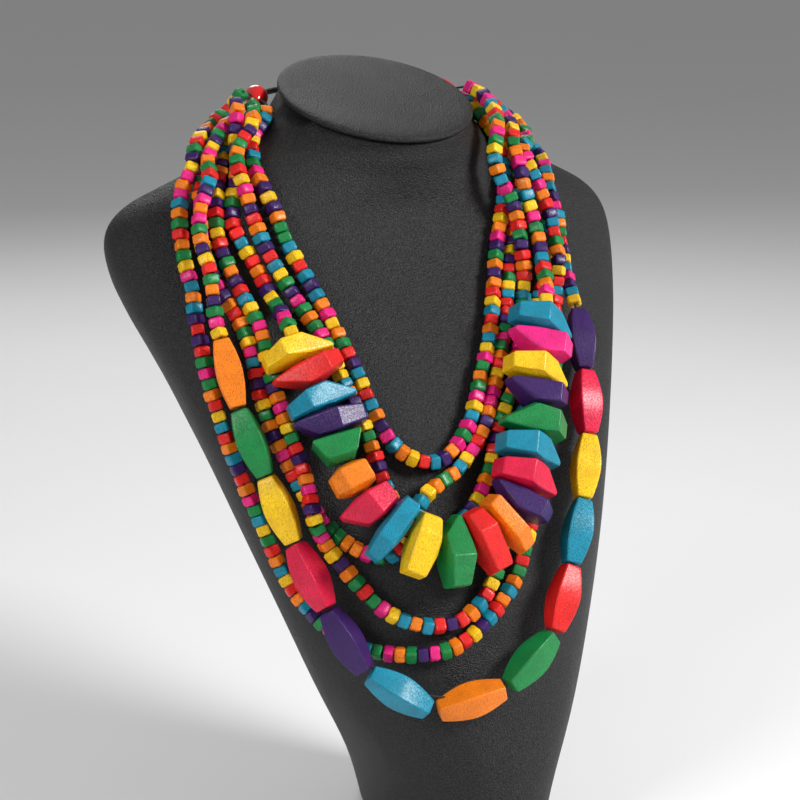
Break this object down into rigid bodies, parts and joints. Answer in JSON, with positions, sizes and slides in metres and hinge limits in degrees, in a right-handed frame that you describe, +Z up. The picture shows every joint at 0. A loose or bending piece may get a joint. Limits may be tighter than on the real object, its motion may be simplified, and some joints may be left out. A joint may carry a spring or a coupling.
{
  "type": "beaded necklace on a neck bust",
  "caption": "Layered painted-wood bead necklace with wedge chunks and long ovals, on a black leatherette neck bust.",
  "frame": {"origin": "centre of the whole part's box, on the floor under the bust's foot", "axes": "+Z up, -Y the way the bust faces, +X towards the bust's own left"},
  "size_m": [0.222, 0.1672, 0.2949],
  "materials": {
    "leatherette": "fine-grained, soft sheen",
    "mixed_wood": "dyed in mixed colours, satin lacquer",
    "red_wood": "dyed, satin lacquer",
    "orange_wood": "dyed, satin lacquer",
    "yellow_wood": "dyed, satin lacquer",
    "green_wood": "dyed, satin lacquer",
    "blue_wood": "dyed, satin lacquer",
    "crimson_wood": "dyed, satin lacquer",
    "pink_wood": "dyed, satin lacquer",
    "violet_wood": "dyed, satin lacquer",
    "clasp_wood": "dark stain",
    "cord": "waxed cotton"
  },
  "bodies": {
    "root": {"bust_body": "leatherette", "neck_cap": "leatherette", "string_1": "mixed_wood", "string_2": "mixed_wood", "string_3_right": "mixed_wood", "string_3_left": "mixed_wood", "string_4": "mixed_wood", "string_5": "mixed_wood", "string_6": "mixed_wood", "string_7_right": "mixed_wood", "string_7_left": "mixed_wood", "chunk_bead_01": "yellow_wood", "chunk_bead_02": "red_wood", "chunk_bead_03": "blue_wood", "chunk_bead_04": "violet_wood", "chunk_bead_05": "green_wood", "chunk_bead_06": "orange_wood", "chunk_bead_07": "crimson_wood", "chunk_bead_08": "blue_wood", "chunk_bead_09": "yellow_wood", "chunk_bead_10": "green_wood", "chunk_bead_11": "red_wood", "chunk_bead_12": "orange_wood", "chunk_bead_13": "violet_wood", "chunk_bead_14": "crimson_wood", "chunk_bead_15": "blue_wood", "chunk_bead_16": "green_wood", "chunk_bead_17": "violet_wood", "chunk_bead_18": "yellow_wood", "chunk_bead_19": "pink_wood", "chunk_bead_20": "blue_wood", "oval_bead_01": "orange_wood", "oval_bead_02": "green_wood", "oval_bead_03": "yellow_wood", "oval_bead_04": "crimson_wood", "oval_bead_05": "violet_wood", "oval_bead_06": "blue_wood", "oval_bead_07": "orange_wood", "oval_bead_08": "green_wood", "oval_bead_09": "red_wood", "oval_bead_10": "blue_wood", "oval_bead_11": "yellow_wood", "oval_bead_12": "crimson_wood", "oval_bead_13": "violet_wood", "gather_bead_right": "red_wood", "gather_bead_left": "red_wood", "neck_cord_right": "cord", "neck_cord_left": "cord", "barrel_clasp": "clasp_wood"}
  },
  "joints": []
}
